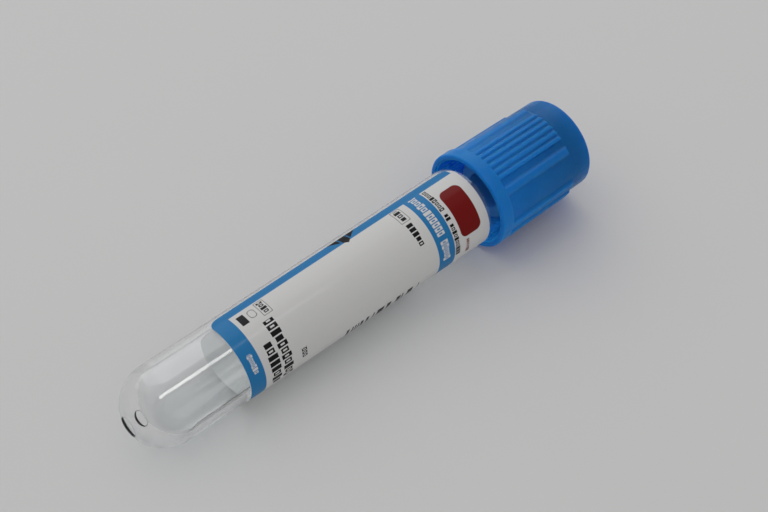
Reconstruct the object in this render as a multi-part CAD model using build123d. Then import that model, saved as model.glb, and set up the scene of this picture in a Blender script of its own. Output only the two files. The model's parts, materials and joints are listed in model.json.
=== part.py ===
from build123d import *
import math
import os

# A capped blood collection tube. Each piece is drawn upright about the tube's axis, with the
# pole of the round bottom at zero and the mouth upwards, and is laid down at the end. Lying, it
# rests on its round bottom and on the flange of its cap. Turns about the axis are degrees from
# the top of the lying tube, round towards +Y.

# Tube
tube_length = 75.0
mouth_radius = 6.5
taper = 0.31  # outer radius lost from the mouth down to the straight end
straight_length = 10.0  # untapered stretch above the round bottom, which seats in a rack
wall = 1.0
pole_thickness = 2.4
rim_round = 0.3
gate_radius = 1.6  # sunk disc at the pole where the plastic was fed
gate_depth = 0.4
gate_round = 0.15

# Cap
cap_overlap = 10.7  # from the tube's mouth down to the cap's open end
skirt_clearance = 0.65  # from the tube's mouth out to the skirt's open end
flange_wall = 0.99  # skirt and flange together, at the open end
flange_height = 2.4
flange_round = 0.3
shoulder_step = 0.44  # from the flange in to the body
shoulder_ramp = 0.3  # slope from the flange down to the body
body_draft = 0.15  # body radius lost from the flange to the top
top_round = 0.5
bore_draft = 0.25  # bore radius lost from the open end to the ceiling
bore_lead_in = 0.25
retaining_bead = 0.22  # ring under the stopper's head that holds it in the cap
head_ledge = 1.0  # width of the ceiling that the stopper's head bears on
core_height = 3.5  # hollow between the ceiling and the top, round the collar
top_wall = 1.3
port_radius = 3.6  # hole for the needle holder's sleeve and needle
port_round = 0.3
collar_wall = 1.0

# Ribs on the cap, in equal groups with a smooth panel between
rib_groups = 3
fine_ribs = 6
fine_rib_pitch = 7.75  # degrees
fine_rib_width = 0.5
wide_rib_width = 1.05
wide_rib_gap = 16.0  # degrees from the last fine rib to the wide rib
rib_height = 0.45
plain_end = 4.3  # from the ribs' end to the cap's top
rib_flank = 0.12  # how much wider the root is than the crest, on each side
rib_round = 0.1
rib_ramp = 0.5
rib_turn = -15.0  # middle of the uppermost group
rib_root = 0.3  # depth that the rib is set into the body

# Stopper
head_thickness = 4.4
head_clearance = 0.05
head_round = 0.3
plug_length = 7.5
plug_clearance = 0.05
plug_relief = 0.3  # the plug is this much slimmer between its sealing rings
plug_lead_in = 0.4
seal_rings = 2
seal_ring_height = 1.4
seal_ring_pitch = 3.0
seat_clearance = 0.02
target_inset = 0.4  # from the port in to the thinned place that the needle goes through
target_depth = 1.5
well_radius = 3.0
well_depth = 4.5

# Label
label_start = 16.6
label_gap = 1.5  # bare tube between the label and the cap
label_thickness = 0.1
label_glue = 0.02
label_corner = 2.0
label_edge = 31.0  # turn of its upper long edge
bare_strip = 40.0  # degrees of tube left clear between its long edges

# Liquid additive
liquid_depth = 1.9  # at the round bottom, where it pools
liquid_reach = 50.0  # from the pole to the rounded edge of the pool
liquid_clearance = 0.03

bottom_radius = mouth_radius - taper
straight_top = bottom_radius + straight_length
hollow_radius = bottom_radius - wall
skirt_bore = mouth_radius + skirt_clearance
flange_radius = skirt_bore + flange_wall
body_radius = flange_radius - shoulder_step
top_radius = body_radius - body_draft
target_radius = port_radius - target_inset
cap_open_end = tube_length - cap_overlap
head_bottom = tube_length + seat_clearance
head_top = head_bottom + head_thickness
ceiling = head_top + seat_clearance
cap_top = ceiling + core_height + top_wall
flange_top = cap_open_end + flange_height
rib_top = cap_top - plain_end
label_end = cap_open_end - label_gap
reach = 3 * tube_length  # larger than the whole object
seam_turn = 20.0  # degrees that the seam of a turned surface lies away from where the tube rests


def outer_radius(height):
    return bottom_radius + taper * max(height - straight_top, 0) / (tube_length - straight_top)


def hollow_radius_at(height):
    centre = pole_thickness + hollow_radius
    return hollow_radius + taper * (height - centre) / (tube_length - centre)


def bore_radius(height):
    return skirt_bore - bore_draft * (height - cap_open_end) / (ceiling - cap_open_end)


def body_radius_at(height):
    share = (height - flange_top) / (cap_top - flange_top)
    return body_radius + (top_radius - body_radius) * share


def local_turn(turn):
    return 180 - turn


def turned(outline):
    return Rot(0, 0, seam_turn) * revolve(Plane.XZ * make_face(outline), Axis.Z)


def ring_edges(part, height, radius):
    at_height = part.edges().filter_by(GeomType.CIRCLE).filter_by_position(Axis.Z, height, height)
    return [edge for edge in at_height if abs(edge.radius - radius) < 0.001]


def round_ended(pole, radius, rest):
    # Outline of a round-bottomed turned shape: a quarter circle at the pole, then straight runs.
    side = (radius, pole + radius)
    sides = Polyline(side, *rest, (0, rest[-1][1]), (0, pole))
    return CenterArc((0, pole + radius), radius, -90, 90) + sides


def inside_of_tube(clearance=0.0):
    mouth = (mouth_radius - wall - clearance, tube_length)
    return turned(round_ended(pole_thickness + clearance, hollow_radius - clearance, [mouth]))


def make_tube():
    outline = round_ended(0, bottom_radius, [(bottom_radius, straight_top), (mouth_radius, tube_length)])
    gate = Cylinder(gate_radius, 2 * gate_depth)
    tube = turned(outline) - gate - inside_of_tube()
    rims = ring_edges(tube, tube_length, mouth_radius)
    rims += ring_edges(tube, tube_length, mouth_radius - wall)
    tube = fillet(rims, min(rim_round, 0.3 * wall))
    return fillet(ring_edges(tube, gate_depth, gate_radius), gate_round)


def make_rib(width):
    # A straight bar along +X's side of the cap. Its crest starts level with the flange, leans in
    # with the body, and drops to the body down a ramp.
    start = Vector(flange_radius, 0, flange_top - shoulder_ramp)
    ramp_start = Vector(body_radius_at(rib_top - rib_ramp) + rib_height, 0, rib_top - rib_ramp)
    crest_line = ramp_start - start
    depth = rib_height + rib_root + shoulder_ramp
    flank = rib_flank * depth / rib_height
    section = Polygon(
        (0, -width / 2), (depth, -width / 2 - flank), (depth, width / 2 + flank), (0, width / 2), align=None
    )
    section = fillet(section.vertices().sort_by(Axis.X)[:2], rib_round)
    inwards = Vector(-crest_line.Z, 0, crest_line.X)
    bar = extrude(Plane(origin=start, x_dir=inwards, z_dir=crest_line) * section, rib_top - start.Z)
    buried = Vector(body_radius_at(rib_top) - rib_root, 0, rib_top + rib_root)
    outside = Vector(2 * flange_radius, 0, rib_top + rib_root)
    corners = [(corner.X, corner.Z) for corner in (ramp_start, buried, outside, ramp_start)]
    beyond_ramp = extrude(Plane.XZ * make_face(Polyline(*corners)), flange_radius, both=True)
    return bar - beyond_ramp - Pos(0, 0, rib_top + reach / 2) * Box(reach, reach, reach)


def rib_turns():
    # Each group is a row of fine ribs with a wide rib beside each end of it.
    half_row = fine_rib_pitch * (fine_ribs - 1) / 2
    fine = [fine_rib_pitch * i - half_row for i in range(fine_ribs)]
    wide = [-half_row - wide_rib_gap, half_row + wide_rib_gap]
    starts = [rib_turn + 360 / rib_groups * group for group in range(rib_groups)]
    fine_turns = [start + turn for start in starts for turn in fine]
    wide_turns = [start + turn for start in starts for turn in wide]
    return fine_turns, wide_turns


def make_cap():
    shell = turned(
        Polyline(
            (0, cap_open_end),
            (flange_radius, cap_open_end),
            (flange_radius, flange_top - shoulder_ramp),
            (body_radius_at(flange_top), flange_top),
            (top_radius, cap_top),
            (0, cap_top),
            (0, cap_open_end),
        )
    )
    shell = fillet(ring_edges(shell, cap_top, top_radius), top_round)
    shell = fillet(ring_edges(shell, cap_open_end, flange_radius), flange_round)

    bead_top = head_bottom
    bead_middle = bead_top - retaining_bead
    bead_low = bead_middle - 2 * retaining_bead
    bore = turned(
        Polyline(
            (0, cap_open_end),
            (skirt_bore + bore_lead_in, cap_open_end),
            (bore_radius(cap_open_end + bore_lead_in), cap_open_end + bore_lead_in),
            (bore_radius(bead_low), bead_low),
            (bore_radius(bead_middle) - retaining_bead, bead_middle),
            (bore_radius(bead_top), bead_top),
            (bore_radius(ceiling), ceiling),
            (0, ceiling),
            (0, cap_open_end),
        )
    )
    collar_radius = port_radius + collar_wall
    core_radius = bore_radius(ceiling) - head_ledge
    core = Cylinder(core_radius, core_height) - Cylinder(collar_radius, core_height)
    core = Pos(0, 0, ceiling + core_height / 2) * core
    port = Pos(0, 0, cap_top) * Cylinder(port_radius, 2 * (cap_top - ceiling))
    cap = shell - bore - core - port
    cap = fillet(ring_edges(cap, cap_top, port_radius), port_round)

    fine_turns, wide_turns = rib_turns()
    fine_rib = make_rib(fine_rib_width)
    wide_rib = make_rib(wide_rib_width)
    ribs = [Rot(0, 0, local_turn(turn)) * fine_rib for turn in fine_turns]
    ribs += [Rot(0, 0, local_turn(turn)) * wide_rib for turn in wide_turns]
    return cap + ribs


def make_stopper():
    head_radius = bore_radius(head_top) - head_clearance
    plug_bottom = head_bottom - plug_length
    plug_radius = hollow_radius_at(plug_bottom) - plug_clearance
    head = Cylinder(head_radius, head_thickness, align=(Align.CENTER, Align.CENTER, Align.MIN))
    head = Pos(0, 0, head_bottom) * fillet(head.edges(), head_round)
    slim = Cylinder(plug_radius - plug_relief, plug_length, align=(Align.CENTER, Align.CENTER, Align.MIN))
    slim = Pos(0, 0, plug_bottom) * chamfer(slim.edges().sort_by(Axis.Z)[0], plug_lead_in)
    stopper = head + slim
    for i in range(seal_rings):
        ring = Cylinder(plug_radius, seal_ring_height)
        ring = chamfer(ring.edges(), plug_relief)
        stopper += Pos(0, 0, plug_bottom + plug_lead_in + seal_ring_height / 2 + i * seal_ring_pitch) * ring
    target = Pos(0, 0, head_top) * Cylinder(target_radius, 2 * target_depth)
    well = Cylinder(well_radius, well_depth, align=(Align.CENTER, Align.CENTER, Align.MIN))
    well = fillet(well.edges().sort_by(Axis.Z)[-1], 0.6 * well_radius)
    return stopper - target - Pos(0, 0, plug_bottom) * well


def make_label():
    # The sheet follows the tube's side, and its four corners are cut to a rounding.
    heights = sorted({label_start, min(max(label_start, straight_top), label_end), label_end})
    inner = [(outer_radius(height) + label_glue, height) for height in heights]
    outer = [(radius + label_thickness, height) for radius, height in inner]
    wrap = 360 - bare_strip
    label = revolve(Plane.XZ * Polygon(*inner, *reversed(outer), align=None), Axis.Z, wrap)
    for turn, across in ((0, 1), (wrap, -1)):
        for height, along in ((label_start, 1), (label_end, -1)):
            radial = Vector(1, 0, 0).rotate(Axis.Z, turn)
            tangent = Vector(0, 1, 0).rotate(Axis.Z, turn) * across
            plane = Plane(origin=(0, 0, height), x_dir=tangent, z_dir=radial)
            up = along * across
            corner = Pos(label_corner / 2, up * label_corner / 2) * Rectangle(label_corner, label_corner)
            corner -= Pos(label_corner, up * label_corner) * Circle(label_corner)
            label -= extrude(plane * corner, 2 * mouth_radius)
    return Rot(0, 0, local_turn(label_edge)) * label


def lie_down(part):
    # The round bottom and the rounded edge of the flange both touch the ground.
    along = cap_open_end + flange_round - bottom_radius
    across = flange_radius - flange_round
    rise = math.atan2(across, along) + math.asin((flange_round - bottom_radius) / math.hypot(along, across))
    return Rot(0, 90 - math.degrees(rise), 0) * part


def make_liquid():
    # A pool with a level top once the tube lies down. It draws itself in to a blunt end.
    hollow = inside_of_tube(liquid_clearance)
    beyond = Pos(0, 0, liquid_reach + reach / 2) * Box(reach, reach, reach)
    lying = lie_down(hollow - beyond)
    floor = lying.bounding_box().min.Z
    above = Pos(0, 0, floor + liquid_depth + reach / 2) * Box(reach, reach, reach)
    return lying - above


parts = {
    "tube": lie_down(make_tube()),
    "cap": lie_down(make_cap()),
    "stopper": lie_down(make_stopper()),
    "label": lie_down(make_label()),
    "citrate_solution": make_liquid(),
}

boxes = [part.bounding_box() for part in parts.values()]
low = [min(tuple(box.min)[axis] for box in boxes) for axis in range(3)]
high = [max(tuple(box.max)[axis] for box in boxes) for axis in range(3)]
to_origin = Pos(-(low[0] + high[0]) / 2, -(low[1] + high[1]) / 2, -low[2])

os.makedirs("parts", exist_ok=True)
for name, part in parts.items():
    placed = to_origin * part
    export_step(placed, f"parts/{name}.step")
    print(name, len(placed.solids()), round(placed.volume, 1), placed.bounding_box())
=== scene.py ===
import json
import math

import bmesh
import bpy
from mathutils import Matrix, Vector


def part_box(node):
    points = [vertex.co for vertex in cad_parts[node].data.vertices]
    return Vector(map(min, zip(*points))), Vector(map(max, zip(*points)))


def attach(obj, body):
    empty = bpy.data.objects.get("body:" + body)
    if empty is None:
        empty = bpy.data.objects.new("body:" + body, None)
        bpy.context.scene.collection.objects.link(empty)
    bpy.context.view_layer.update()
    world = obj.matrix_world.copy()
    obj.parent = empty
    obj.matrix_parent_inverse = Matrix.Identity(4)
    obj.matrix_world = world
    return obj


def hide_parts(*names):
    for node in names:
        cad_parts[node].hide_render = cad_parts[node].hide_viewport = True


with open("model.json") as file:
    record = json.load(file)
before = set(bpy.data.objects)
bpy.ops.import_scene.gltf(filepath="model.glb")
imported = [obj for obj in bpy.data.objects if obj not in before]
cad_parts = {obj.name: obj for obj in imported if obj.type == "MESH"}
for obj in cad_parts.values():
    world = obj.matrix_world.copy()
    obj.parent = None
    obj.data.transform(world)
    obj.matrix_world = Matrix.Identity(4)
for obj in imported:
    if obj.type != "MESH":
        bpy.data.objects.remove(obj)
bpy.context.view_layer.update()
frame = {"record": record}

# Each piece is drawn upright in millimetres, with the pole of the round bottom at zero and the
# axis up Z, and then laid down by one matrix. Turns are degrees from the top of the lying tube,
# round towards +Y.
mounts = {mount["name"]: mount for mount in frame["record"]["mounts"]}
rackEnd = mounts["rack_end"]
needlePort = mounts["needle_port"]
domeRadius = rackEnd["dims"]["r_mm"]
straightLength = rackEnd["dims"]["length_mm"]
axis = -Vector(rackEnd["axis"]).normalized()
side = Vector((0, 1, 0))
top = axis.cross(side)
mm = 0.001
mergeDistance = 0.0005  # millimetres
pole = Vector(rackEnd["pos_m"]) - axis * (domeRadius + straightLength / 2) * mm
turnMatrix = Matrix((top, -side, axis)).transposed()
layDown = Matrix.Translation(pole) @ turnMatrix.to_4x4() @ Matrix.Scale(mm, 4)


def heightOf(point):
    return (Vector(point) - pole).dot(axis) / mm


def polar(radius, turn, height):
    angle = math.radians(turn)
    return Vector((radius * math.cos(angle), -radius * math.sin(angle), height))


# Shapes

def roundedOutline(corners, closed=False, steps=5):
    # corners holds (radius, height, rounding); a rounded corner becomes an arc
    points = []
    last = len(corners) - 1
    for index, (radius, height, rounding) in enumerate(corners):
        here = Vector((radius, height))
        if rounding == 0 or (not closed and index in (0, last)):
            points.append(here)
            continue
        toBefore = (Vector(corners[index - 1][:2]) - here).normalized()
        toAfter = (Vector(corners[(index + 1) % len(corners)][:2]) - here).normalized()
        half = toBefore.angle(toAfter) / 2
        reach = rounding / math.tan(half)
        centre = here + (toBefore + toAfter).normalized() * rounding / math.sin(half)
        start = here + toBefore * reach - centre
        sweep = start.angle_signed(here + toAfter * reach - centre)
        for step in range(steps + 1):
            turned = start.copy()
            turned.rotate(Matrix.Rotation(-sweep * step / steps, 2))
            points.append(centre + turned)
    return points


def arcPoints(centre, radius, start, end, steps):
    angles = [math.radians(start + (end - start) * step / steps) for step in range(steps + 1)]
    return [Vector((radius * math.cos(a), centre + radius * math.sin(a))) for a in angles]


def turnedShape(outline, segments):
    # spins an outline of (radius, height) points about the axis
    mesh = bmesh.new()
    verts = [mesh.verts.new((radius, 0, height)) for radius, height in outline]
    edges = [mesh.edges.new(pair) for pair in zip(verts, verts[1:])]
    if outline[0][0] > 0:
        edges.append(mesh.edges.new((verts[-1], verts[0])))
    bmesh.ops.spin(
        mesh, geom=verts + edges, cent=(0, 0, 0), axis=(0, 0, 1), angle=math.tau,
        steps=segments, use_merge=True,
    )
    bmesh.ops.remove_doubles(mesh, verts=mesh.verts, dist=mergeDistance)
    bmesh.ops.recalc_face_normals(mesh, faces=mesh.faces)
    return mesh


def makePiece(name, mesh, material, body, node, sharpAngle=35):
    # lays the shape down and hands it over as one finished piece
    bmesh.ops.transform(mesh, matrix=layDown, verts=mesh.verts)
    for face in mesh.faces:
        face.smooth = True
    for edge in mesh.edges:
        if len(edge.link_faces) == 2 and edge.calc_face_angle(0) > math.radians(sharpAngle):
            edge.smooth = False
    data = bpy.data.meshes.new(name)
    mesh.to_mesh(data)
    mesh.free()
    piece = bpy.data.objects.new(name, data)
    bpy.context.scene.collection.objects.link(piece)
    data.materials.append(material)
    shading = piece.modifiers.new("evenShading", "WEIGHTED_NORMAL")
    shading.keep_sharp = True
    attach(piece, body)
    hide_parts(node)
    print("made", name, len(data.polygons), "faces")
    return piece


# Nodes

def fillInputs(tree, node, inputs):
    # links what is a socket and sets the rest as plain values
    for key, value in inputs.items():
        if isinstance(value, bpy.types.NodeSocket):
            tree.links.new(value, node.inputs[key])
        else:
            node.inputs[key].default_value = value


def addNode(tree, kind, inputs=None, **settings):
    made = tree.nodes.new(kind)
    for name, value in settings.items():
        setattr(made, name, value)
    fillInputs(tree, made, inputs or {})
    return made


def sums(tree, operation, *values, clamp=False):
    inputs = dict(enumerate(values))
    return addNode(tree, "ShaderNodeMath", inputs, operation=operation, use_clamp=clamp).outputs[0]


def mixColours(tree, share, first, second):
    inputs = {0: share, 6: first, 7: second}
    return addNode(tree, "ShaderNodeMix", inputs, data_type="RGBA", clamp_factor=True).outputs[2]


def rampOf(tree, value, ends):
    # 0 to 1 as the value goes from the first end to the second
    inputs = {0: value, 1: ends[0], 2: ends[1]}
    return addNode(tree, "ShaderNodeMapRange", inputs, clamp=True).outputs[0]


def addBump(tree, shader, height, strength, distance):
    inputs = {"Height": height, "Strength": strength, "Distance": distance * mm}
    tree.links.new(addNode(tree, "ShaderNodeBump", inputs).outputs[0], shader.inputs["Normal"])


def darkened(colour, share):
    return tuple(part * share for part in colour[:3]) + (1,)


def newGroup(name, inputs, outputs):
    tree = bpy.data.node_groups.new(name, "ShaderNodeTree")
    for label, kind, value in inputs:
        socket = tree.interface.new_socket(label, in_out="INPUT", socket_type="NodeSocket" + kind)
        socket.default_value = value
    for label, kind in outputs:
        tree.interface.new_socket(label, in_out="OUTPUT", socket_type="NodeSocket" + kind)
    entry = tree.nodes.new("NodeGroupInput")
    leave = tree.nodes.new("NodeGroupOutput")
    return tree, entry.outputs, leave.inputs


def useGroup(tree, group, **inputs):
    made = tree.nodes.new("ShaderNodeGroup")
    made.node_tree = group
    fillInputs(tree, made, inputs)
    return made.outputs


def tubeCoordinates():
    # millimetres along the axis from the pole and out from it, and degrees round it from the top
    outputs = [("along", "Float"), ("turn", "Float"), ("out", "Float")]
    tree, _, leave = newGroup("tubeCoordinates", [], outputs)
    back = turnMatrix.transposed()
    place = addNode(tree, "ShaderNodeTexCoord").outputs["Object"]
    mapping = {
        "Vector": place,
        "Location": -(back @ pole) / mm,
        "Rotation": back.to_euler(),
        "Scale": (1 / mm, 1 / mm, 1 / mm),
    }
    upright = addNode(tree, "ShaderNodeMapping", mapping).outputs[0]
    parts = addNode(tree, "ShaderNodeSeparateXYZ", {0: upright}).outputs
    turn = sums(tree, "ARCTAN2", sums(tree, "MULTIPLY", parts["Y"], -1.0), parts["X"])
    squares = sums(tree, "MULTIPLY", parts["Y"], parts["Y"])
    squares = sums(tree, "MULTIPLY_ADD", parts["X"], parts["X"], squares)
    tree.links.new(parts["Z"], leave["along"])
    tree.links.new(sums(tree, "DEGREES", turn), leave["turn"])
    tree.links.new(sums(tree, "SQRT", squares), leave["out"])
    return tree


def surfaceMarks():
    # slow unevenness, fine grain and rare specks of dust over a moulded or rubbed surface
    inputs = [("cloudSize", "Float", 4.0), ("grainSize", "Float", 0.1), ("dust", "Float", 0.0)]
    outputs = [("cloud", "Float"), ("grain", "Float"), ("dust", "Float")]
    tree, entry, leave = newGroup("surfaceMarks", inputs, outputs)
    specksPerMm = 0.9
    speckRadius = 0.055
    place = addNode(tree, "ShaderNodeTexCoord").outputs["Object"]
    scaled = addNode(tree, "ShaderNodeMapping", {0: place, "Scale": (1 / mm, 1 / mm, 1 / mm)}).outputs[0]

    def noise(size, detail):
        scale = sums(tree, "DIVIDE", 1.0, size)
        return addNode(
            tree, "ShaderNodeTexNoise", {"Vector": scaled, "Scale": scale, "Detail": detail}
        ).outputs[0]

    tree.links.new(noise(entry["cloudSize"], 3.0), leave["cloud"])
    tree.links.new(noise(entry["grainSize"], 1.0), leave["grain"])
    cells = addNode(
        tree, "ShaderNodeTexVoronoi", {"Vector": scaled, "Scale": specksPerMm, "Randomness": 1.0}
    ).outputs
    speck = sums(tree, "LESS_THAN", cells["Distance"], speckRadius)
    pick = addNode(tree, "ShaderNodeSeparateColor", {0: cells["Color"]}).outputs[0]
    seldom = sums(tree, "LESS_THAN", pick, entry["dust"])
    tree.links.new(sums(tree, "MULTIPLY", speck, seldom), leave["dust"])
    return tree


coordinates = tubeCoordinates()
marks = surfaceMarks()


def newMaterial(name):
    material = bpy.data.materials.new(name)
    material.use_nodes = True
    tree = material.node_tree
    return material, tree, tree.nodes["Principled BSDF"], tree.nodes["Material Output"]


def letLightThrough(tree, shader, output, tint, fromRoom):
    # lamps, and a share of the room's light, shine through clear and thin stuff, which keeps
    # its inside lit and throws a paler, tinted shadow
    path = addNode(tree, "ShaderNodeLightPath").outputs
    share = sums(tree, "MULTIPLY", path["Is Diffuse Ray"], fromRoom)
    share = sums(tree, "MAXIMUM", path["Is Shadow Ray"], share)
    clear = addNode(tree, "ShaderNodeBsdfTransparent", {0: tint}).outputs[0]
    mixed = addNode(tree, "ShaderNodeMixShader", {0: share, 1: shader.outputs[0], 2: clear})
    tree.links.new(mixed.outputs[0], output.inputs["Surface"])


# Tube

tubeShape = {
    "length": 75.0,
    "mouthRadius": 6.5,
    "wall": 1.0,
    "poleThickness": 2.4,
    "rimRound": 0.3,
    "gateRadius": 1.6,  # sunk disc at the pole
    "gateDepth": 0.4,
    "gateRound": 0.15,
    "segments": 160,
    "arcSteps": 36,
    "tint": (0.935, 0.94, 0.945, 1),
    "shadowTint": (0.935, 0.945, 0.95, 1),
    "roughness": 0.01,
    "cloudRoughness": 0.05,
    "dustRoughness": 0.3,
    "ior": 1.57,
}
straightTop = domeRadius + straightLength
hollowRadius = domeRadius - tubeShape["wall"]
hollowCentre = tubeShape["poleThickness"] + hollowRadius


def clearPlastic():
    shape = tubeShape
    material, tree, shader, output = newMaterial("clearPlastic")
    found = useGroup(tree, marks, cloudSize=6.0, grainSize=0.6, dust=0.04)
    rough = sums(tree, "MULTIPLY_ADD", found["cloud"], shape["cloudRoughness"], shape["roughness"])
    rough = sums(tree, "MULTIPLY_ADD", found["dust"], shape["dustRoughness"], rough)
    tree.links.new(rough, shader.inputs["Roughness"])
    addBump(tree, shader, found["grain"], 0.04, 0.02)
    shader.inputs["Base Color"].default_value = shape["tint"]
    shader.inputs["Transmission Weight"].default_value = 1.0
    shader.inputs["IOR"].default_value = shape["ior"]
    letLightThrough(tree, shader, output, shape["shadowTint"], 1.0)
    return material


def makeTube():
    shape = tubeShape
    gateEdge = math.sqrt(domeRadius ** 2 - shape["gateRadius"] ** 2)
    gateAngle = math.degrees(math.asin(shape["gateRadius"] / domeRadius))
    gate = [
        (0, shape["gateDepth"], 0),
        (shape["gateRadius"], shape["gateDepth"], shape["gateRound"]),
        (shape["gateRadius"], domeRadius - gateEdge, 0),
    ]
    outline = roundedOutline(gate)[:-1]
    outline += arcPoints(domeRadius, domeRadius, gateAngle - 90, 0, shape["arcSteps"])
    innerMouth = shape["mouthRadius"] - shape["wall"]
    rim = [
        (domeRadius, straightTop, 0),
        (shape["mouthRadius"], shape["length"], shape["rimRound"]),
        (innerMouth, shape["length"], shape["rimRound"]),
        (hollowRadius, hollowCentre, 0),
    ]
    outline += roundedOutline(rim)[:-1]
    outline += arcPoints(hollowCentre, hollowRadius, 0, -90, shape["arcSteps"])
    outline[-1] = Vector((0, shape["poleThickness"]))
    mesh = turnedShape(outline, shape["segments"])
    return makePiece("clearTube", mesh, clearPlastic(), "vial", "tube")


# Cap

capTop = heightOf(mounts["cap_face"]["pos_m"])
capShape = {
    "openEnd": tubeShape["length"] - 10.7,
    "flangeRadius": 8.14,
    "flangeHeight": 2.4,
    "flangeRound": 0.3,
    "shoulderRamp": 0.3,
    "shoulderRound": 0.12,
    "bodyRadius": 7.7,
    "topRadius": 7.55,
    "topRound": 0.5,
    "skirtBore": 7.15,
    "boreDraft": 0.25,
    "boreLeadIn": 0.25,
    "headBottom": tubeShape["length"] + 0.02,
    "ceiling": tubeShape["length"] + 4.44,
    "bead": 0.22,
    "beadRound": 0.06,
    "coreRadius": 5.9,
    "coreRound": 0.1,
    "collarWall": 1.0,
    "topWall": 1.3,
    "portRound": 0.3,
    "bodyRings": (0.4, 3.3, 7.3, 11.3),  # heights above the flange of the rings in the plain wall
    "panelStep": 3.0,  # degrees between columns where there is no rib
}
flangeTop = capShape["openEnd"] + capShape["flangeHeight"]
bodyTaper = (capShape["topRadius"] - capShape["bodyRadius"]) / (capTop - flangeTop)
ribShape = {
    "groups": 3,
    "fineRibs": 6,
    "pitch": 8.1,  # degrees
    "fineWidth": 0.5,
    "wideWidth": 1.05,
    "wideGap": 16.7,  # degrees from the last fine rib to the wide rib
    "height": 0.44,
    "valley": 0.46,  # share of the height that stays between ribs, but for the open gap on one side
    "plainEnd": 4.0,  # from the ribs' end to the cap's top
    "ramp": 0.5,
    "rampRings": (-0.1, 0.04, 0.2, 0.36, 0.5, 0.62),  # heights of the rings from the ramp's start
    "middleTurn": -12.0,
    # a rib's flank: millimetres out from the crest's edge, and the share of its height there
    "flank": (
        (-0.12, 1.0), (-0.06, 0.96), (0.0, 0.82), (0.07, 0.55), (0.14, 0.28), (0.2, 0.1), (0.28, 0.0),
    ),
    "wideFlank": 1.8,  # a wide rib's flank is this many times as broad
}


def boreRadius(height):
    share = (height - capShape["openEnd"]) / (capShape["ceiling"] - capShape["openEnd"])
    return capShape["skirtBore"] - capShape["boreDraft"] * share


def bodyRadius(height):
    return capShape["bodyRadius"] + bodyTaper * (height - flangeTop)


def ribColumns():
    # (turn, share of the rib's height) for each column round the cap; a rib in the group is its
    # turn, its width and the share that stays at the foot of each flank
    rib = ribShape
    halfRow = rib["pitch"] * (rib["fineRibs"] - 1) / 2
    group = []
    for i in range(rib["fineRibs"]):
        floors = (rib["valley"] if i else 0.0, rib["valley"])
        group.append((rib["pitch"] * i - halfRow, rib["fineWidth"], floors))
    group.append((-halfRow - rib["wideGap"], rib["wideWidth"], (0.0, 0.0)))
    group.append((halfRow + rib["wideGap"], rib["wideWidth"], (rib["valley"], 0.0)))
    degree = math.degrees(1 / (capShape["bodyRadius"] + rib["height"] / 2))
    columns = []
    for groupIndex in range(rib["groups"]):
        start = rib["middleTurn"] + 360 / rib["groups"] * groupIndex
        for turn, width, floors in group:
            spread = rib["wideFlank"] if width == rib["wideWidth"] else 1.0
            for out, share in rib["flank"]:
                for sign, floor in zip((-1, 1), floors):
                    edge = start + turn + sign * (width / 2 + out * spread) * degree
                    columns.append((edge, floor + (1 - floor) * share))
    columns.sort()
    filled = []
    for (turn, share), (following, _) in zip(columns, columns[1:] + [(columns[0][0] + 360, 0)]):
        filled.append((turn, share))
        flat = share in (0.0, rib["valley"], 1.0)
        steps = max(int((following - turn) / capShape["panelStep"]), 1) if flat else 1
        filled += [(turn + (following - turn) * i / steps, share) for i in range(1, steps)]
    return filled


def capRows():
    # (radius, height, rib crest's radius) for each ring, from the open end up, in and back down
    cap, rib = capShape, ribShape
    portRadius = needlePort["dims"]["r_mm"]
    coreTop = capTop - cap["topWall"]
    beadTop = cap["headBottom"]
    beadMiddle = beadTop - cap["bead"]
    beadFoot = beadTop - 3 * cap["bead"]
    leadInTop = cap["openEnd"] + cap["boreLeadIn"]
    rampTop = capTop - rib["plainEnd"]
    rampStart = rampTop - rib["ramp"]
    shoulder = flangeTop - cap["shoulderRamp"]
    crestEnd = bodyRadius(rampStart) + rib["height"]

    def crest(height):
        if height <= shoulder:
            return cap["flangeRadius"]
        if height <= rampStart:
            share = (height - shoulder) / (rampStart - shoulder)
            return cap["flangeRadius"] + (crestEnd - cap["flangeRadius"]) * share
        return crestEnd - (height - rampStart) * rib["height"] / rib["ramp"]

    outer = [
        (boreRadius(cap["openEnd"]) + cap["boreLeadIn"], cap["openEnd"], 0),
        (cap["flangeRadius"], cap["openEnd"], cap["flangeRound"]),
        (cap["flangeRadius"], shoulder, cap["shoulderRound"]),
        (bodyRadius(flangeTop), flangeTop, cap["shoulderRound"]),
    ]
    rings = [flangeTop + up for up in cap["bodyRings"]] + [rampStart + up for up in rib["rampRings"]]
    outer += [(bodyRadius(height), height, 0) for height in rings]
    outer += [
        (cap["topRadius"], capTop, cap["topRound"]),
        (portRadius, capTop, cap["portRound"]),
        (portRadius, cap["ceiling"], cap["coreRound"]),
        (portRadius + cap["collarWall"], cap["ceiling"], cap["coreRound"]),
        (portRadius + cap["collarWall"], coreTop, cap["coreRound"]),
        (cap["coreRadius"], coreTop, cap["coreRound"]),
        (cap["coreRadius"], cap["ceiling"], cap["coreRound"]),
        (boreRadius(cap["ceiling"]), cap["ceiling"], 0),
        (boreRadius(beadTop), beadTop, 0),
        (boreRadius(beadTop) - cap["bead"], beadMiddle, cap["beadRound"]),
        (boreRadius(beadFoot), beadFoot, 0),
        (boreRadius(leadInTop), leadInTop, 0),
    ]
    rows = []
    outside = True
    for radius, height in roundedOutline(outer, closed=True, steps=4):
        outside = outside and height < rampTop
        ribbed = outside and height >= shoulder
        rows.append((radius, height, max(crest(height), radius) if ribbed else radius))
    return rows


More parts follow.
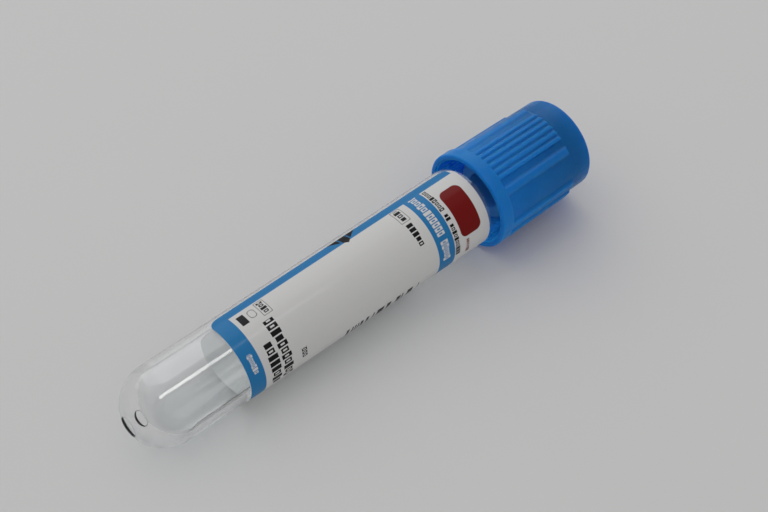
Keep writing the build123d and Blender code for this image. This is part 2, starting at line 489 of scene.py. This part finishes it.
capFinish = {
    "wall": (0.006, 0.175, 0.51, 1),
    "cloudy": (0.012, 0.19, 0.54, 1),
    "backed": (0.007, 0.12, 0.35, 1),  # painted shade: darker where the stopper stands behind the wall, as if less light came through
    "backedFrom": (66.5, 80.5),
    "rim": (81.5, 84.0),  # the painted shade lifts again at the free top rim
    "rimShare": 0.5,
    "crest": (0.02, 0.24, 0.62, 1),  # painted highlight: what stands proud of the wall is paler, as if it caught more light
    "proud": (0.08, 0.42),
    "crestShare": 0.45,
    "bore": (0.02, 0.32, 0.75, 1),  # painted light: the inside of the skirt is paler, standing in for light that comes in through the wall
    "boreSlack": 0.1,  # how far past the bore's radius its colour reaches
    "boreStop": 0.5,  # and how far short of the ceiling it ends
    "roughness": 0.2,
    "cloudRoughness": 0.1,
    "grainRoughness": 0.06,
    "shadowTint": (0.08, 0.43, 0.9, 1),
    "roomShare": 0.7,
}


def bluePlastic():
    finish = capFinish
    material, tree, shader, output = newMaterial("bluePlastic")
    found = useGroup(tree, marks, cloudSize=5.0, grainSize=0.09, dust=0.0)
    place = useGroup(tree, coordinates)
    colour = mixColours(tree, found["cloud"], finish["wall"], finish["cloudy"])
    # painted shade: the wall darkens along the stretch over the stopper and lightens again towards the top
    # rim
    backed = rampOf(tree, place["along"], finish["backedFrom"])
    rim = sums(tree, "MULTIPLY", rampOf(tree, place["along"], finish["rim"]), finish["rimShare"])
    colour = mixColours(tree, sums(tree, "SUBTRACT", backed, rim), colour, finish["backed"])

    # painted highlight: the ribs grow paler the further they stand out from the wall
    wallAtPole = bodyRadius(0)
    wall = sums(tree, "MULTIPLY_ADD", place["along"], bodyTaper, wallAtPole)
    proud = rampOf(tree, sums(tree, "SUBTRACT", place["out"], wall), finish["proud"])
    colour = mixColours(tree, sums(tree, "MULTIPLY", proud, finish["crestShare"]), colour, finish["crest"])

    # painted light: the bore is made paler, as if lit through the wall
    inside = sums(tree, "LESS_THAN", place["out"], capShape["skirtBore"] + finish["boreSlack"])
    below = sums(tree, "LESS_THAN", place["along"], capShape["ceiling"] - finish["boreStop"])
    colour = mixColours(tree, sums(tree, "MULTIPLY", inside, below), colour, finish["bore"])
    tree.links.new(colour, shader.inputs["Base Color"])

    rough = sums(tree, "MULTIPLY_ADD", found["cloud"], finish["cloudRoughness"], finish["roughness"])
    rough = sums(tree, "MULTIPLY_ADD", found["grain"], finish["grainRoughness"], rough)
    tree.links.new(rough, shader.inputs["Roughness"])
    addBump(tree, shader, found["grain"], 0.25, 0.012)
    shader.inputs["IOR"].default_value = 1.5
    shader.inputs["Specular IOR Level"].default_value = 0.07
    shader.inputs["Subsurface Weight"].default_value = 1.0
    shader.inputs["Subsurface Radius"].default_value = (0.15, 0.5, 1.0)
    shader.inputs["Subsurface Scale"].default_value = 2 * mm
    letLightThrough(tree, shader, output, finish["shadowTint"], finish["roomShare"])
    return material


def makeCap():
    rows = capRows()
    columns = ribColumns()
    mesh = bmesh.new()
    mesh.verts.layers.float.new("turn")
    mesh.verts.layers.float.new("share")
    turnLayer = mesh.verts.layers.float["turn"]
    shareLayer = mesh.verts.layers.float["share"]
    ring = bmesh.ops.create_circle(mesh, segments=len(columns), radius=1)["verts"]
    for vert, (turn, share) in zip(ring, columns):
        vert[turnLayer] = turn
        vert[shareLayer] = share
    edges = list(mesh.edges)
    first = list(edges)
    for index, (radius, height, crest) in enumerate(rows):
        if index:
            drawn = bmesh.ops.extrude_edge_only(mesh, edges=edges)["geom"]
            ring = [part for part in drawn if isinstance(part, bmesh.types.BMVert)]
            edges = [part for part in drawn if isinstance(part, bmesh.types.BMEdge)]
        for vert in ring:
            vert.co = polar(radius + (crest - radius) * vert[shareLayer], vert[turnLayer], height)
    bmesh.ops.bridge_loops(mesh, edges=first + edges)
    bmesh.ops.remove_doubles(mesh, verts=mesh.verts, dist=mergeDistance)
    bmesh.ops.recalc_face_normals(mesh, faces=mesh.faces)
    return makePiece("ribbedCap", mesh, bluePlastic(), "closure", "cap")


# Stopper

stopperShape = {
    "headRadius": boreRadius(capShape["ceiling"]) - 0.05,
    "headTop": capShape["ceiling"] - 0.02,
    "headRound": 0.3,
    "plugBottom": capShape["headBottom"] - 7.5,
    "plugRadius": 5.416,
    "relief": 0.3,
    "leadIn": 0.4,
    "ringHeight": 1.4,
    "ringPitch": 3.0,
    "rings": 2,
    "targetRadius": 3.2,
    "targetDepth": 1.5,
    "targetRound": 0.3,
    "wellRadius": 3.0,
    "wellDepth": 4.5,
    "wellRound": 1.8,
    "lipRound": 0.15,
    "ringRound": 0.1,
    "rootRound": 0.05,
    "segments": 96,
    "rubber": (0.02, 0.16, 0.43, 1),
    "cloudy": (0.03, 0.19, 0.49, 1),
    "dust": (0.4, 0.4, 0.4, 1),
    "dustShare": 0.4,
}


def stopperRubber():
    shape = stopperShape
    material, tree, shader, _ = newMaterial("stopperRubber")
    found = useGroup(tree, marks, cloudSize=3.0, grainSize=0.12, dust=0.2)
    colour = mixColours(tree, found["cloud"], shape["rubber"], shape["cloudy"])
    dusty = sums(tree, "MULTIPLY", found["dust"], shape["dustShare"])
    tree.links.new(mixColours(tree, dusty, colour, shape["dust"]), shader.inputs["Base Color"])
    tree.links.new(sums(tree, "MULTIPLY_ADD", found["grain"], 0.2, 0.5), shader.inputs["Roughness"])
    addBump(tree, shader, found["grain"], 0.3, 0.03)
    return material


def makeStopper():
    shape = stopperShape
    slim = shape["plugRadius"] - shape["relief"]
    wellTop = shape["plugBottom"] + shape["wellDepth"]
    targetBottom = shape["headTop"] - shape["targetDepth"]
    firstRing = shape["plugBottom"] + shape["leadIn"]
    outline = [
        (0, wellTop, 0),
        (shape["wellRadius"], wellTop, shape["wellRound"]),
        (shape["wellRadius"], shape["plugBottom"], shape["lipRound"]),
        (slim - shape["leadIn"], shape["plugBottom"], shape["ringRound"]),
        (slim, firstRing, shape["rootRound"]),
    ]
    for index in range(shape["rings"]):
        low = firstRing + index * shape["ringPitch"]
        high = low + shape["ringHeight"]
        if index:
            outline.append((slim, low, shape["rootRound"]))
        outline += [
            (shape["plugRadius"], low + shape["relief"], shape["ringRound"]),
            (shape["plugRadius"], high - shape["relief"], shape["ringRound"]),
            (slim, high, shape["rootRound"]),
        ]
    outline += [
        (slim, capShape["headBottom"], 0),
        (shape["headRadius"], capShape["headBottom"], shape["headRound"]),
        (shape["headRadius"], shape["headTop"], shape["headRound"]),
        (shape["targetRadius"], shape["headTop"], shape["lipRound"]),
        (shape["targetRadius"], targetBottom, shape["targetRound"]),
        (0, targetBottom, 0),
    ]
    mesh = turnedShape(roundedOutline(outline), shape["segments"])
    return makePiece("rubberStopper", mesh, stopperRubber(), "closure", "stopper")


# Label

labelShape = {
    "start": 16.6,
    "end": capShape["openEnd"] - 1.5,
    "edgeTurn": 31.0,  # its upper long edge
    "bareStrip": 40.0,
    "glue": 0.02,
    "thickness": 0.1,
    "corner": 2.0,
    "cornerSegments": 8,
    "sliceDegrees": 2.5,
    "cutsAlong": (30.0, 45.0),
    "edgeLean": 0.5,  # a face that looks outwards less than this is the back or the cut edge
}
printRadius = 6.4
mmPerDegree = math.radians(printRadius)
# Fields are (along from, along to, turn from, turn to, corner), and lines of greeked print are
# (along from, along to, turn from, turn to, letter pitch), with the turns in degrees.
labelPrint = {
    "blue": (0.02, 0.185, 0.43, 1),
    "white": (0.66, 0.655, 0.645, 1),
    "back": (0.86, 0.86, 0.85, 1),
    "black": (0.006, 0.006, 0.007, 1),
    "red": (0.17, 0.003, 0.002, 1),
    "shadowTint": (0.96, 0.96, 0.955, 1),
    "border": (16.0, 62.2, 15.0, 60.0, 0.0),
    "domeBand": (15.0, 19.3, -360.0, 60.0, 0.0),
    "crossBand": (52.4, 55.6, -360.0, 60.0, 0.0),
    "redField": (57.2, 61.2, -75.0, -4.0, 1.1),
    "blackFields": [(20.0, 21.2, -8.0, 8.5, 0.1)],
    "boxes": [
        (23.4, 25.0, -12.0, 13.0, 0.15), (49.4, 51.2, -12.0, 14.0, 0.15), (21.7, 22.9, -6.0, 8.0, 0.5),
    ],
    "boxLine": 0.1,
    "boxShade": 0.7,
    "blackLines": [
        (22.5, 24.2, -112.0, -18.0, 0.98),
        (20.4, 22.1, -112.0, -38.0, 0.98),
        (25.7, 26.9, -100.0, -77.0, 0.62),
        (49.7, 50.8, -50.0, -15.0, 0.78),
        (49.75, 50.85, -9.5, 11.5, 0.72),
        (23.7, 24.7, -9.5, 10.5, 0.6),
        (55.75, 56.65, -97.0, 13.0, 0.56),
    ],
    "whiteLines": [(53.2, 54.6, -92.0, 14.0, 0.72), (17.6, 18.5, -70.0, -42.0, 0.5)],
    "redLines": [(57.9, 58.6, -104.0, -80.0, 0.4)],
    "bars": (33.5, 48.5, -160.0, -103.0),
    "barWidth": 0.27,
    "barShare": 0.5,
    "markApex": (41.4, 11.5),
    "markBase": (2.6, 31.0),  # half its length, and the turn of its base
    "markLines": (40.6, 42.2),  # two pale lines cross it
    "markLineWidth": 0.26,
    "markLineShade": 0.25,
    "softEdge": 0.05,
}
# Widths and heights are shares of a letter's cell. Each letter draws three numbers from 0 to 1:
# it is tall above tallShare, has a hole above solidShare, and is a space below spaceShare.
letters = {
    "halfWidth": 0.39,
    "tallShare": 0.6,
    "shortHeight": 0.75,
    "holeHalfWidth": 0.14,
    "holeHeight": 0.42,
    "solidShare": 0.35,
    "spaceShare": 0.1,
}


def fieldGroup():
    # a rounded rectangle on the label; sizes in millimetres, turns in degrees
    names = ("along", "turn", "midAlong", "midTurn", "halfLong", "halfWide", "corner")
    inputs = [(name, "Float", 0) for name in names]
    tree, entry, leave = newGroup("printField", inputs, [("mask", "Float")])
    x = sums(tree, "ABSOLUTE", sums(tree, "SUBTRACT", entry["along"], entry["midAlong"]))
    x = sums(tree, "ADD", sums(tree, "SUBTRACT", x, entry["halfLong"]), entry["corner"])
    y = sums(tree, "ABSOLUTE", sums(tree, "SUBTRACT", entry["turn"], entry["midTurn"]))
    y = sums(tree, "SUBTRACT", sums(tree, "MULTIPLY", y, mmPerDegree), entry["halfWide"])
    y = sums(tree, "ADD", y, entry["corner"])
    outX = sums(tree, "MAXIMUM", x, 0.0)
    outY = sums(tree, "MAXIMUM", y, 0.0)
    squares = sums(tree, "MULTIPLY_ADD", outX, outX, sums(tree, "MULTIPLY", outY, outY))
    inside = sums(tree, "MINIMUM", sums(tree, "MAXIMUM", x, y), 0.0)
    reach = sums(tree, "ADD", sums(tree, "SQRT", squares), inside)
    reach = sums(tree, "SUBTRACT", reach, entry["corner"])
    sharpness = -1 / labelPrint["softEdge"]
    tree.links.new(sums(tree, "MULTIPLY_ADD", reach, sharpness, 0.5, clamp=True), leave["mask"])
    return tree


def greekedGroup():
    # a line of print too small to read: blocks of uneven height, with gaps between words
    names = ("along", "turn", "midAlong", "halfHigh", "turnFrom", "turnTo", "pitch")
    inputs = [(name, "Float", 0) for name in names]
    tree, entry, leave = newGroup("greekedLine", inputs, [("mask", "Float")])
    across = sums(tree, "SUBTRACT", entry["turn"], entry["turnFrom"])
    cells = sums(tree, "DIVIDE", sums(tree, "MULTIPLY", across, mmPerDegree), entry["pitch"])
    cell = sums(tree, "FLOOR", cells)
    inCell = sums(tree, "ABSOLUTE", sums(tree, "SUBTRACT", sums(tree, "FRACT", cells), 0.5))
    seedParts = {0: cell, 1: entry["midAlong"], 2: entry["pitch"]}
    seed = addNode(tree, "ShaderNodeCombineXYZ", seedParts).outputs[0]
    drawn = addNode(tree, "ShaderNodeTexWhiteNoise", {"Vector": seed}, noise_dimensions="3D")
    picks = addNode(tree, "ShaderNodeSeparateColor", {0: drawn.outputs["Color"]}).outputs

    y = sums(tree, "SUBTRACT", entry["along"], entry["midAlong"])
    high = sums(tree, "DIVIDE", sums(tree, "ABSOLUTE", y), entry["halfHigh"])
    tall = sums(tree, "GREATER_THAN", picks[0], letters["tallShare"])
    tall = sums(tree, "MULTIPLY_ADD", tall, 1 - letters["shortHeight"], letters["shortHeight"])
    block = sums(tree, "LESS_THAN", high, tall)
    block = sums(tree, "MULTIPLY", block, sums(tree, "LESS_THAN", inCell, letters["halfWidth"]))
    hole = sums(tree, "LESS_THAN", inCell, letters["holeHalfWidth"])
    hole = sums(tree, "MULTIPLY", hole, sums(tree, "LESS_THAN", high, letters["holeHeight"]))
    hole = sums(tree, "MULTIPLY", hole, sums(tree, "GREATER_THAN", picks[1], letters["solidShare"]))
    block = sums(tree, "SUBTRACT", block, hole, clamp=True)
    block = sums(tree, "MULTIPLY", block, sums(tree, "GREATER_THAN", picks[2], letters["spaceShare"]))
    block = sums(tree, "MULTIPLY", block, sums(tree, "GREATER_THAN", entry["turn"], entry["turnFrom"]))
    block = sums(tree, "MULTIPLY", block, sums(tree, "LESS_THAN", entry["turn"], entry["turnTo"]))
    tree.links.new(block, leave["mask"])
    return tree


def labelFilm():
    material, tree, shader, output = newMaterial("labelFilm")
    field, greeked = fieldGroup(), greekedGroup()
    found = useGroup(tree, coordinates)
    along, turn = found["along"], found["turn"]
    past = sums(tree, "GREATER_THAN", turn, labelShape["edgeTurn"] + labelShape["bareStrip"] / 2)
    turn = sums(tree, "MULTIPLY_ADD", past, -360.0, turn)  # one run of turns, down from the upper edge

    def fieldMask(alongFrom, alongTo, turnFrom, turnTo, corner, shrink=0.0):
        return useGroup(
            tree, field, along=along, turn=turn, midAlong=(alongFrom + alongTo) / 2,
            midTurn=(turnFrom + turnTo) / 2, halfLong=(alongTo - alongFrom) / 2 - shrink,
            halfWide=(turnTo - turnFrom) / 2 * mmPerDegree - shrink, corner=corner,
        )["mask"]

    def lineMask(alongFrom, alongTo, turnFrom, turnTo, pitch):
        return useGroup(
            tree, greeked, along=along, turn=turn, midAlong=(alongFrom + alongTo) / 2,
            halfHigh=(alongTo - alongFrom) / 2, turnFrom=turnFrom, turnTo=turnTo, pitch=pitch,
        )["mask"]

    def anyOf(masks):
        total = masks[0]
        for mask in masks[1:]:
            total = sums(tree, "MAXIMUM", total, mask)
        return total

    art = labelPrint
    paper = useGroup(tree, marks, cloudSize=7.0, grainSize=0.25, dust=0.05)
    colour = mixColours(tree, paper["cloud"], art["white"], darkened(art["white"], 0.96))
    blue = anyOf([fieldMask(*art[name]) for name in ("border", "domeBand", "crossBand")])
    colour = mixColours(tree, blue, colour, art["blue"])
    colour = mixColours(tree, anyOf([lineMask(*line) for line in art["whiteLines"]]), colour, art["white"])
    red = anyOf([fieldMask(*art["redField"])] + [lineMask(*line) for line in art["redLines"]])
    colour = mixColours(tree, red, colour, art["red"])

    black = [fieldMask(*place) for place in art["blackFields"]]
    black += [lineMask(*line) for line in art["blackLines"]]
    for box in art["boxes"]:
        inner = fieldMask(*box, shrink=art["boxLine"])
        frameLine = sums(tree, "SUBTRACT", fieldMask(*box), inner, clamp=True)
        black.append(sums(tree, "MULTIPLY", frameLine, art["boxShade"]))
    barCell = sums(tree, "FLOOR", sums(tree, "DIVIDE", along, art["barWidth"]))
    drawn = addNode(tree, "ShaderNodeTexWhiteNoise", {"W": barCell}, noise_dimensions="1D")
    bars = sums(tree, "GREATER_THAN", drawn.outputs["Value"], art["barShare"])
    black.append(sums(tree, "MULTIPLY", bars, fieldMask(*art["bars"], 0.0)))

    apexAlong, apexTurn = art["markApex"]
    halfBase, baseTurn = art["markBase"]
    aside = sums(tree, "ABSOLUTE", sums(tree, "SUBTRACT", along, apexAlong))
    width = sums(tree, "MULTIPLY", sums(tree, "SUBTRACT", turn, apexTurn), halfBase / (baseTurn - apexTurn))
    mark = sums(tree, "LESS_THAN", aside, width)
    for line in art["markLines"]:
        away = sums(tree, "ABSOLUTE", sums(tree, "SUBTRACT", along, line))
        away = sums(tree, "GREATER_THAN", away, art["markLineWidth"] / 2)
        mark = sums(tree, "MULTIPLY", mark, sums(tree, "MAXIMUM", away, art["markLineShade"]))
    black.append(mark)
    colour = mixColours(tree, anyOf(black), colour, art["black"])
    tree.links.new(colour, shader.inputs["Base Color"])

    tree.links.new(sums(tree, "MULTIPLY_ADD", paper["cloud"], 0.1, 0.33), shader.inputs["Roughness"])
    addBump(tree, shader, paper["cloud"], 0.15, 0.08)
    shader.inputs["Specular IOR Level"].default_value = 0.06
    shader.inputs["Coat Weight"].default_value = 0.1
    shader.inputs["Coat Roughness"].default_value = 0.1
    letLightThrough(tree, shader, output, art["shadowTint"], 1.0)
    return material


def labelBack():
    # the glued side, which shows through the clear tube, and the cut edge
    material, tree, shader, output = newMaterial("labelBack")
    found = useGroup(tree, marks, cloudSize=3.0, grainSize=0.3, dust=0.0)
    white = labelPrint["back"]
    colour = mixColours(tree, found["cloud"], white, darkened(white, 0.93))
    tree.links.new(colour, shader.inputs["Base Color"])
    tree.links.new(sums(tree, "MULTIPLY_ADD", found["grain"], 0.2, 0.5), shader.inputs["Roughness"])
    letLightThrough(tree, shader, output, labelPrint["shadowTint"], 1.0)
    return material


def tubeRadius(height):
    share = max(height - straightTop, 0) / (tubeShape["length"] - straightTop)
    return domeRadius + (tubeShape["mouthRadius"] - domeRadius) * share


def outwardLean(face):
    # 1 for a face that looks straight away from the axis, -1 for one that looks at it
    middle = face.calc_center_median()
    return face.normal.dot(Vector((middle.x, middle.y, 0)).normalized())


def makeLabel():
    # cut flat with rounded corners, sliced across, then wrapped round the tube
    shape = labelShape
    wrap = 360 - shape["bareStrip"]
    width = wrap * mmPerDegree
    length = shape["end"] - shape["start"]
    mesh = bmesh.new()
    bmesh.ops.create_grid(mesh, x_segments=1, y_segments=1, size=0.5)
    bmesh.ops.scale(mesh, vec=(width, length, 1), verts=mesh.verts)
    bmesh.ops.bevel(
        mesh, geom=list(mesh.verts), offset=shape["corner"], offset_type="OFFSET", affect="VERTICES",
        segments=shape["cornerSegments"], profile=0.5, material=-1,
    )
    slices = int(wrap / shape["sliceDegrees"])
    cuts = [((width * (i / slices - 0.5), 0, 0), (1, 0, 0)) for i in range(1, slices)]
    heights = (shape["start"] + shape["corner"], straightTop + 0.001, shape["end"] - shape["corner"])
    middle = (shape["start"] + shape["end"]) / 2
    cuts += [((0, height - middle, 0), (0, 1, 0)) for height in heights + shape["cutsAlong"]]
    for place, normal in cuts:
        everything = list(mesh.verts) + list(mesh.edges) + list(mesh.faces)
        bmesh.ops.bisect_plane(mesh, geom=everything, dist=0.00001, plane_co=place, plane_no=normal)
    for vert in mesh.verts:
        turn = shape["edgeTurn"] - (vert.co.x / width + 0.5) * wrap
        height = vert.co.y + middle
        vert.co = polar(tubeRadius(height) + shape["glue"], turn, height)
    bmesh.ops.recalc_face_normals(mesh, faces=mesh.faces)
    if sum(outwardLean(face) for face in mesh.faces) < 0:
        bmesh.ops.reverse_faces(mesh, faces=mesh.faces)
    bmesh.ops.solidify(mesh, geom=list(mesh.faces), thickness=-shape["thickness"])
    bmesh.ops.recalc_face_normals(mesh, faces=mesh.faces)
    for face in mesh.faces:
        if outwardLean(face) < shape["edgeLean"]:
            face.material_index = 1
    piece = makePiece("wrapLabel", mesh, labelFilm(), "vial", "label")
    piece.data.materials.append(labelBack())
    return piece


# Liquid additive

liquidShape = {
    "overlap": 0.012,  # sinks into the wall a hair, so that no air shows between them
    "reach": 50.0,
    "segments": 128,
    "arcSteps": 30,
    "clear": (0.975, 0.985, 0.985, 1),
    "cloudy": (0.985, 0.99, 0.985, 1),
    "shadowTint": (0.96, 0.97, 0.97, 1),
    "ior": 1.33,
}


def citrateSolution():
    shape = liquidShape
    material, tree, shader, output = newMaterial("citrateSolution")
    found = useGroup(tree, marks, cloudSize=6.0, grainSize=1.0, dust=0.0)
    colour = mixColours(tree, found["cloud"], shape["clear"], shape["cloudy"])
    tree.links.new(colour, shader.inputs["Base Color"])
    shader.inputs["Roughness"].default_value = 0.0
    shader.inputs["Transmission Weight"].default_value = 1.0
    shader.inputs["IOR"].default_value = shape["ior"]
    letLightThrough(tree, shader, output, shape["shadowTint"], 1.0)
    return material


def makeLiquid():
    shape = liquidShape
    grow = shape["overlap"]
    mouth = tubeShape["mouthRadius"] - tubeShape["wall"]
    reachShare = (shape["reach"] - hollowCentre) / (tubeShape["length"] - hollowCentre)
    reachRadius = hollowRadius + (mouth - hollowRadius) * reachShare
    outline = arcPoints(hollowCentre, hollowRadius + grow, -90, 0, shape["arcSteps"])
    outline[0] = Vector((0, hollowCentre - hollowRadius - grow))
    outline += [Vector((reachRadius + grow, shape["reach"])), Vector((0, shape["reach"]))]
    mesh = turnedShape(outline, shape["segments"])
    low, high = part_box("citrate_solution")
    toUpright = layDown.inverted()
    level = toUpright @ Vector((0, 0, high.z))
    upward = (toUpright.to_3x3() @ Vector((0, 0, 1))).normalized()
    everything = list(mesh.verts) + list(mesh.edges) + list(mesh.faces)
    cut = bmesh.ops.bisect_plane(
        mesh, geom=everything, dist=0.0001, plane_co=level, plane_no=upward, clear_outer=True
    )["geom_cut"]
    rim = [part for part in cut if isinstance(part, bmesh.types.BMEdge)]
    bmesh.ops.edgeloop_fill(mesh, edges=rim)
    bmesh.ops.recalc_face_normals(mesh, faces=mesh.faces)
    return makePiece("citratePool", mesh, citrateSolution(), "vial", "citrate_solution")


# Floor, light and camera

studio = {
    "floorSize": 6.0,
    "floorColour": (0.655, 0.652, 0.648, 1),
    "floorRoughness": 0.75,
    "worldColour": (0.6, 0.6, 0.605, 1),
    "worldStrength": 0.96,
}
lamps = [
    # name, place, size, energy, colour, whether it only shows as a reflection
    ("softKey", (0.1, 0.75, 0.95), (1.8, 1.4), 4.4, (1.0, 0.99, 0.97), False),
    ("overheadStrip", (0.0, -0.28, 1.0), (0.82, 0.14), 2.7, (1.0, 0.99, 0.98), True),
    ("windowCard", (0.37, 0.75, 0.92), (1.6, 1.3), 8.0, (0.9, 0.96, 1.0), True),
]
cameraView = {
    "place": (-0.107627, -0.117389, 0.178960),
    "yaw": 43.754,  # from +Y towards +X
    "down": 46.499,
    "roll": 2.322,
    "lens": 74.0,
    "sensor": 36.0,
    "nearest": 0.01,
}


def makeFloor():
    mesh = bmesh.new()
    bmesh.ops.create_grid(mesh, x_segments=1, y_segments=1, size=studio["floorSize"])
    data = bpy.data.meshes.new("studioFloor")
    mesh.to_mesh(data)
    mesh.free()
    floor = bpy.data.objects.new("studioFloor", data)
    bpy.context.scene.collection.objects.link(floor)
    material, tree, shader, _ = newMaterial("floorPaper")
    found = useGroup(tree, marks, cloudSize=60.0, grainSize=0.5, dust=0.0)
    paper = studio["floorColour"]
    colour = mixColours(tree, found["cloud"], paper, darkened(paper, 0.97))
    tree.links.new(colour, shader.inputs["Base Color"])
    shader.inputs["Roughness"].default_value = studio["floorRoughness"]
    data.materials.append(material)
    print("laid the floor")


def makeWorld():
    world = bpy.data.worlds.new("paleRoom")
    bpy.context.scene.world = world
    world.use_nodes = True
    background = world.node_tree.nodes["Background"]
    background.inputs["Color"].default_value = studio["worldColour"]
    background.inputs["Strength"].default_value = studio["worldStrength"]
    print("lit the room")


def makeLamps():
    for name, place, size, energy, colour, onlyReflected in lamps:
        light = bpy.data.lights.new(name, "AREA")
        light.shape = "RECTANGLE"
        light.size, light.size_y = size
        light.energy = energy
        light.color = colour
        lamp = bpy.data.objects.new(name, light)
        lamp.location = place
        lamp.rotation_euler = (-Vector(place)).to_track_quat("-Z", "Y").to_euler()
        lamp.visible_diffuse = not onlyReflected
        lamp.visible_transmission = not onlyReflected
        bpy.context.scene.collection.objects.link(lamp)
        print("hung", name)


def makeCamera():
    view = cameraView
    yaw, down, roll = (math.radians(view[name]) for name in ("yaw", "down", "roll"))
    look = Vector((math.cos(down) * math.sin(yaw), math.cos(down) * math.cos(yaw), -math.sin(down)))
    right = Vector((math.cos(yaw), -math.sin(yaw), 0))
    upward = right.cross(look)
    across = right * math.cos(roll) + upward * math.sin(roll)
    upward = upward * math.cos(roll) - right * math.sin(roll)
    data = bpy.data.cameras.new("camera")
    data.lens = view["lens"]
    data.sensor_width = view["sensor"]
    data.clip_start = view["nearest"]
    camera = bpy.data.objects.new("camera", data)
    turn = Matrix((across, upward, -look)).transposed()
    camera.matrix_world = Matrix.Translation(view["place"]) @ turn.to_4x4()
    bpy.context.scene.collection.objects.link(camera)
    bpy.context.scene.camera = camera
    print("placed the camera")


makeTube()
makeCap()
makeStopper()
makeLabel()
makeLiquid()
makeFloor()
makeWorld()
makeLamps()
makeCamera()
bpy.context.scene.view_settings.view_transform = "Standard"
print("scene is ready")
